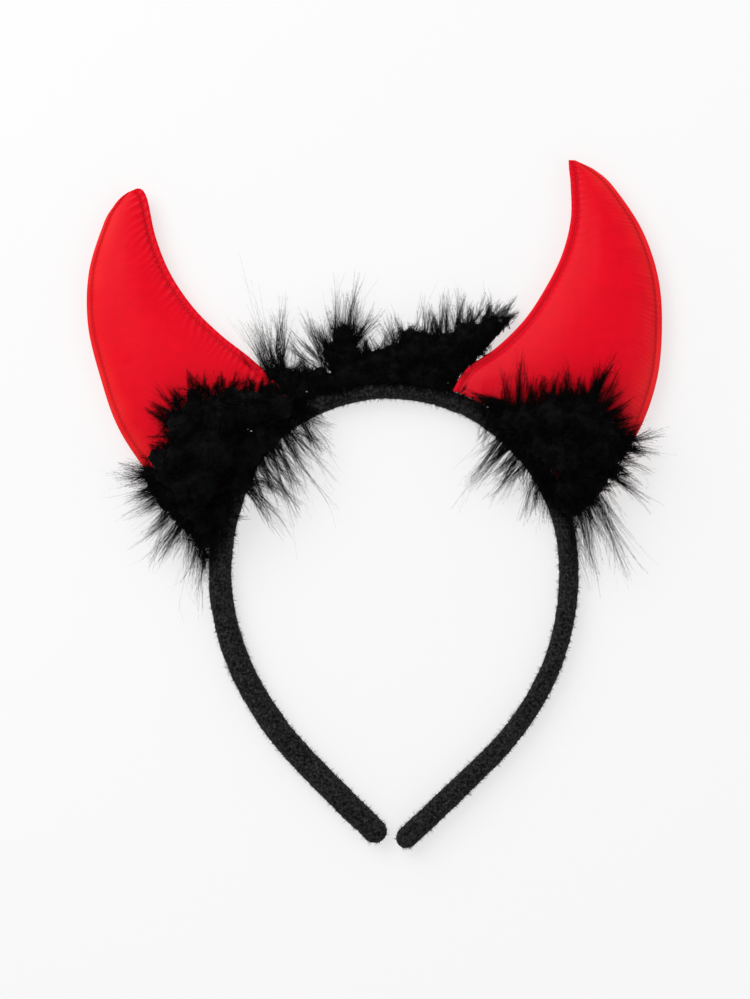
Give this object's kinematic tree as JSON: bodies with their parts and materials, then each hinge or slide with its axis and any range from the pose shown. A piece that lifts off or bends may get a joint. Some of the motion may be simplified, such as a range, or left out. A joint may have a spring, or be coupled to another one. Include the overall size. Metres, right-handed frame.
{
  "type": "devil horns headband",
  "caption": "Costume headband: a springy black felt hoop with a pair of stuffed red satin horns and black marabou down round their roots.",
  "frame": {"origin": "middle of the outline, on the plane that the hoop lies on", "axes": "+Y runs up the hoop from its tips to its crown and on to the horns' tips, +Z comes out of the front, which lies face up, and +X is to the right as the front view shows it"},
  "size_m": [0.19, 0.2256, 0.033],
  "materials": {
    "felt": "matte black felt with a short fuzzy pile",
    "satin": "bright red satin with a soft sheen",
    "down": "black marabou down, fine and matte"
  },
  "bodies": {
    "root": {"band": "felt", "horn_left": "satin", "horn_right": "satin", "marabou_left": "down", "marabou_crown": "down", "marabou_right": "down"}
  },
  "joints": []
}
